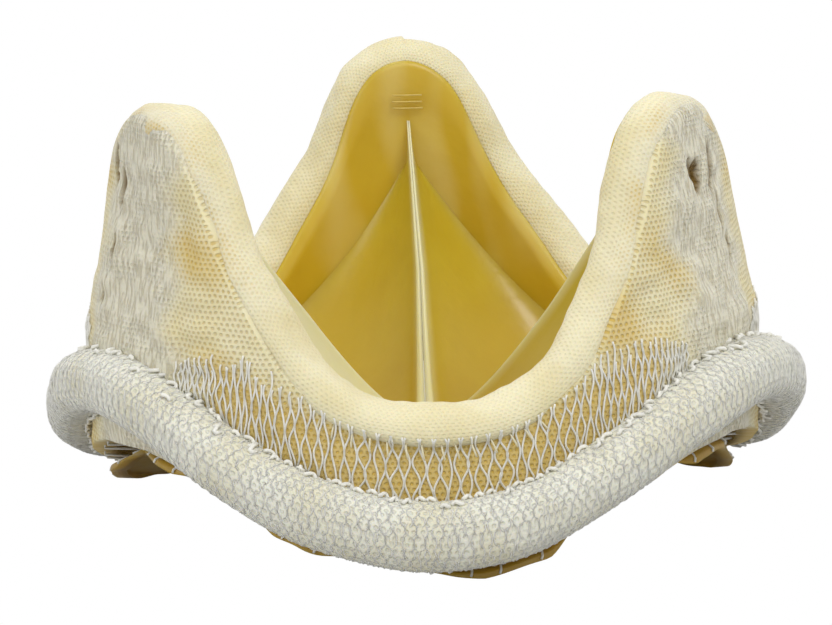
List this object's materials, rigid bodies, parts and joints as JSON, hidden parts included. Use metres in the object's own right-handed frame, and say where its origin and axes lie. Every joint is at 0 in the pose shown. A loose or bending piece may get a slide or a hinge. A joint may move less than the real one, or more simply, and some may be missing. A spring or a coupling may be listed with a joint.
{
  "type": "stented porcine heart valve",
  "caption": "Tissue heart valve on a scalloped cloth-covered frame with a soft sewing ring; its thin leaflets open upward with the flow and close against each other.",
  "frame": {"origin": "on the flow axis, at the height of the lowest point of the inflow edge", "axes": "+Z along the flow axis towards the outflow side, where the posts point; -Y towards the front scallop; +X towards the right-hand post's side"},
  "size_m": [0.033, 0.033, 0.0184],
  "materials": {
    "acetal": "satin",
    "cloth": "fine warp knit, matt",
    "ring_knit": "open loop knit, slightly see-through",
    "sponge": "matt open-cell silicone",
    "tissue": "wet, glossy, fixed tissue",
    "metal": "fine brushed cobalt alloy",
    "thread": "braided polyester"
  },
  "bodies": {
    "stent": {"stent_frame": "acetal", "outer_cloth": "cloth", "inner_cloth": "cloth", "rail_hem": "cloth", "aortic_wall": "tissue", "ring_core": "sponge", "ring_cover": "ring_knit", "back_post_eyelet": "metal", "left_post_eyelet": "metal", "right_post_eyelet": "metal", "back_commissure_suture": "thread", "left_commissure_suture": "thread", "right_commissure_suture": "thread", "rail_suture": "thread", "ring_upper_suture": "thread", "ring_lower_suture": "thread", "inflow_edge_suture": "thread"},
    "front_leaflet_body": {"front_leaflet": "tissue"},
    "right_leaflet_body": {"right_leaflet": "tissue"},
    "left_leaflet_body": {"left_leaflet": "tissue"}
  },
  "joints": [
    {"name": "front_leaflet_opening", "type": "hinge", "parent": "stent", "child": "front_leaflet_body", "pos_m": [0, -0.0112, 0.0049], "axis": [1, 0, 0], "range_deg": [0, 80], "deforming": ["front_leaflet"]},
    {"name": "right_leaflet_opening", "type": "hinge", "parent": "stent", "child": "right_leaflet_body", "pos_m": [0.0097, 0.0056, 0.0049], "axis": [-0.5, 0.866, 0], "range_deg": [0, 80], "deforming": ["right_leaflet"]},
    {"name": "left_leaflet_opening", "type": "hinge", "parent": "stent", "child": "left_leaflet_body", "pos_m": [-0.0097, 0.0056, 0.0049], "axis": [-0.5, -0.866, 0], "range_deg": [0, 80], "deforming": ["left_leaflet"]}
  ]
}
